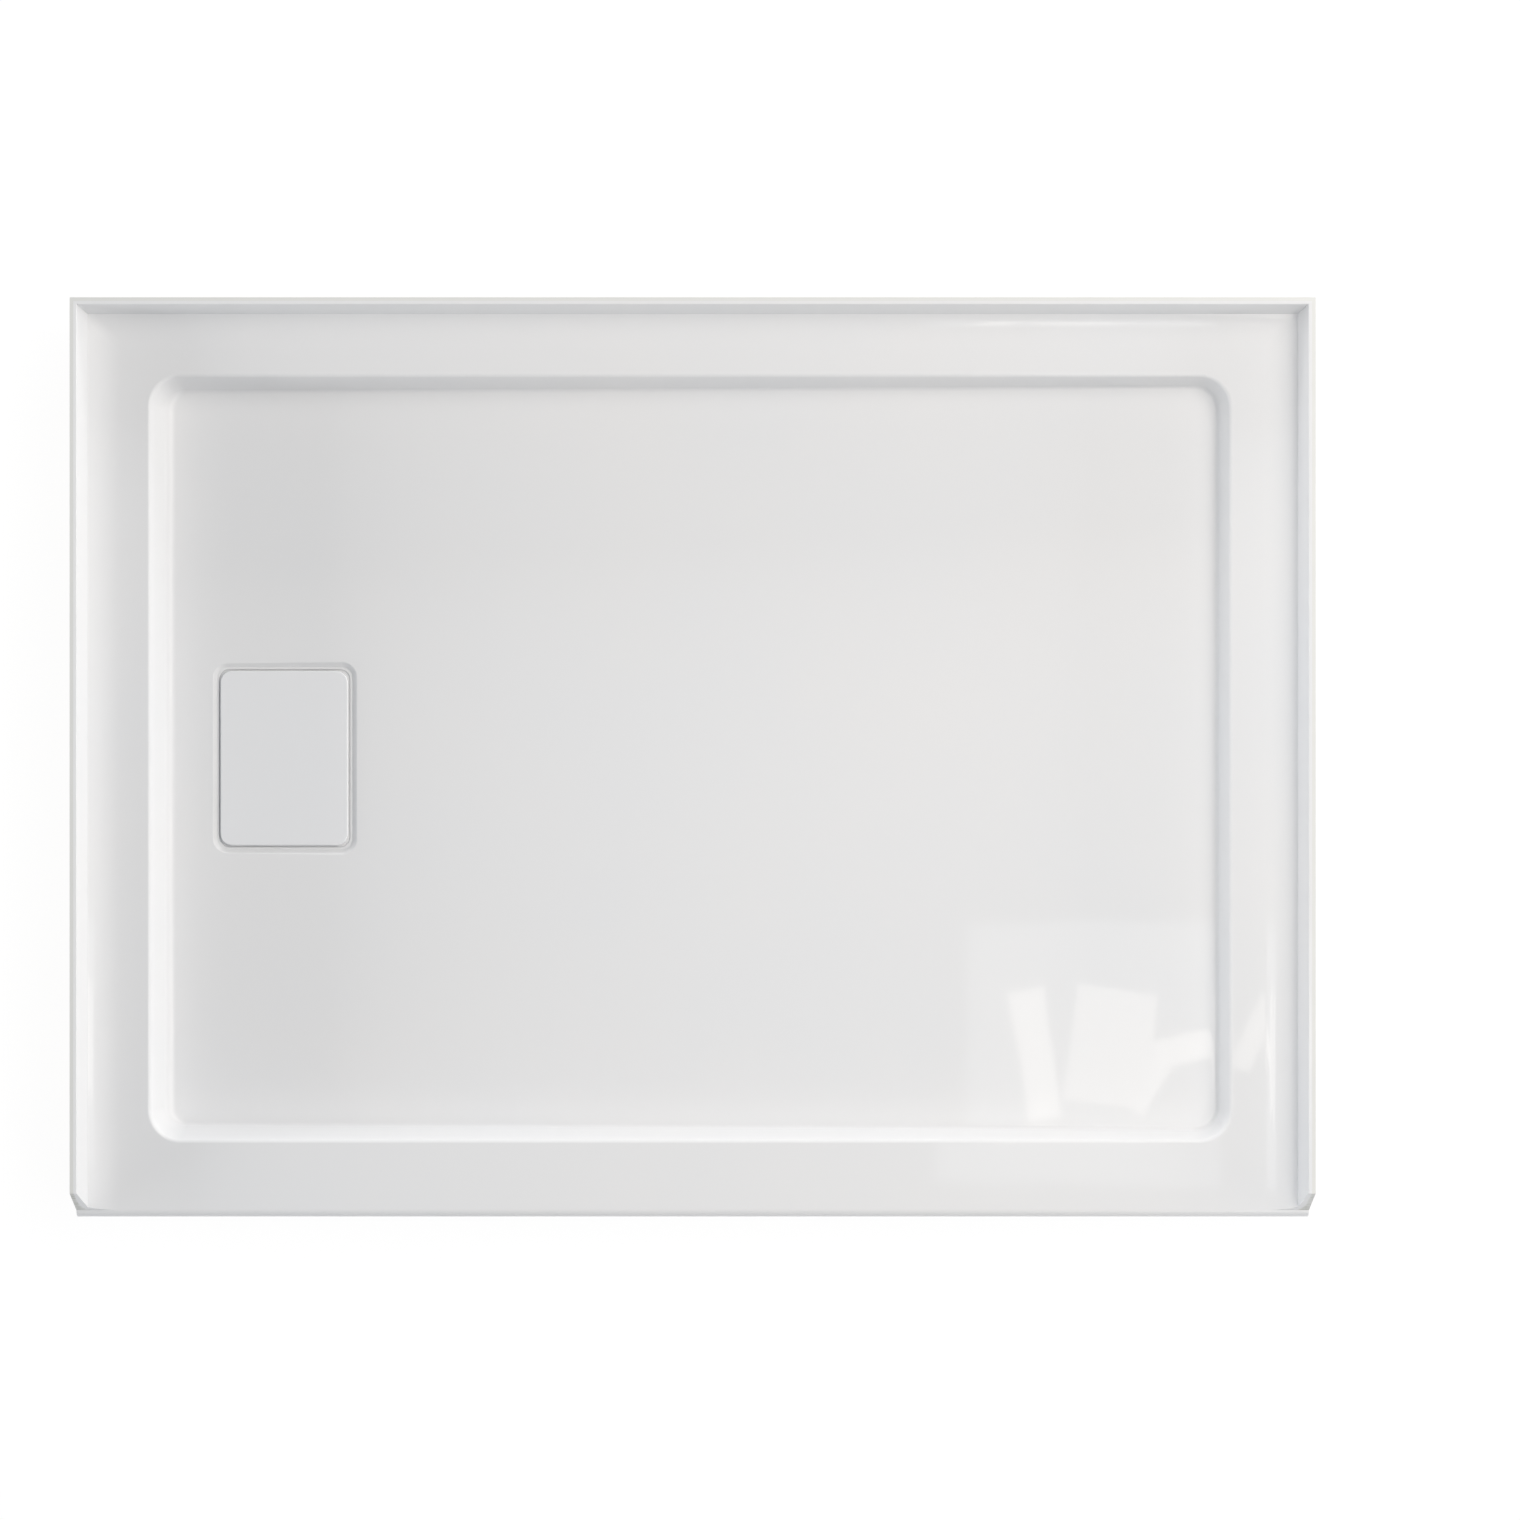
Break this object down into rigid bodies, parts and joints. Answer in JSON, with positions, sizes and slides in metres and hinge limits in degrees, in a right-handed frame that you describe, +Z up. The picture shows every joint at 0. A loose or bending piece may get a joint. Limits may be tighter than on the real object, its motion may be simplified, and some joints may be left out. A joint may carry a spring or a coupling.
{
  "type": "shower tray",
  "caption": "White alcove shower tray with an upright tiling flange, an open threshold and a stepped floor falling to a left-hand waste under a rectangular cover.",
  "frame": {"origin": "middle of the tray's footprint, on the floor that it stands on", "axes": "+X along the back wall with the waste towards -X, +Y towards the back wall, -Y the open threshold, +Z up"},
  "size_m": [1.22, 0.906, 0.13],
  "materials": {
    "white_acrylic": "high gloss, smooth, thermoformed sheet",
    "white_cover": "gloss, moulded, finer sheen than the tray",
    "glass_fibre_laminate": "rough chopped-strand laminate with resin gloss",
    "chipboard": "raw chipboard under a thin coat of resin",
    "timber": "planed softwood",
    "waste_plastic": "satin moulding",
    "nut_plastic": "satin moulding",
    "washer_fibre": "matt fibre",
    "sealing_rubber": "matt rubber",
    "stainless_steel": "brushed"
  },
  "bodies": {
    "tray": {"acrylic_shell": "white_acrylic", "fibreglass_backing": "glass_fibre_laminate", "floor_board": "chipboard", "threshold_rail": "timber", "back_rail": "timber", "left_rail": "timber", "right_rail": "timber", "support_block_1": "timber", "support_block_2": "timber", "support_block_3": "timber", "support_block_4": "timber", "support_block_5": "timber", "support_block_6": "timber", "support_block_7": "timber", "support_block_8": "timber", "support_block_9": "timber", "support_block_10": "timber", "support_block_11": "timber", "drain_body": "waste_plastic", "drain_sealing_washer": "sealing_rubber", "drain_friction_washer": "washer_fibre", "drain_locknut": "waste_plastic", "pipe_gasket": "sealing_rubber", "compression_nut": "nut_plastic"},
    "strainer": {"strainer": "stainless_steel"},
    "cover": {"drain_cover": "white_cover", "cover_foot_1": "sealing_rubber", "cover_foot_2": "sealing_rubber", "cover_foot_3": "sealing_rubber", "cover_foot_4": "sealing_rubber"}
  },
  "joints": [
    {"name": "strainer_lift", "type": "slide", "parent": "tray", "child": "strainer", "axis": [0, 0, 1], "range_m": [0, 0.1]},
    {"name": "cover_lift", "type": "slide", "parent": "strainer", "child": "cover", "axis": [0, 0, 1], "range_m": [0, 0.12]}
  ]
}
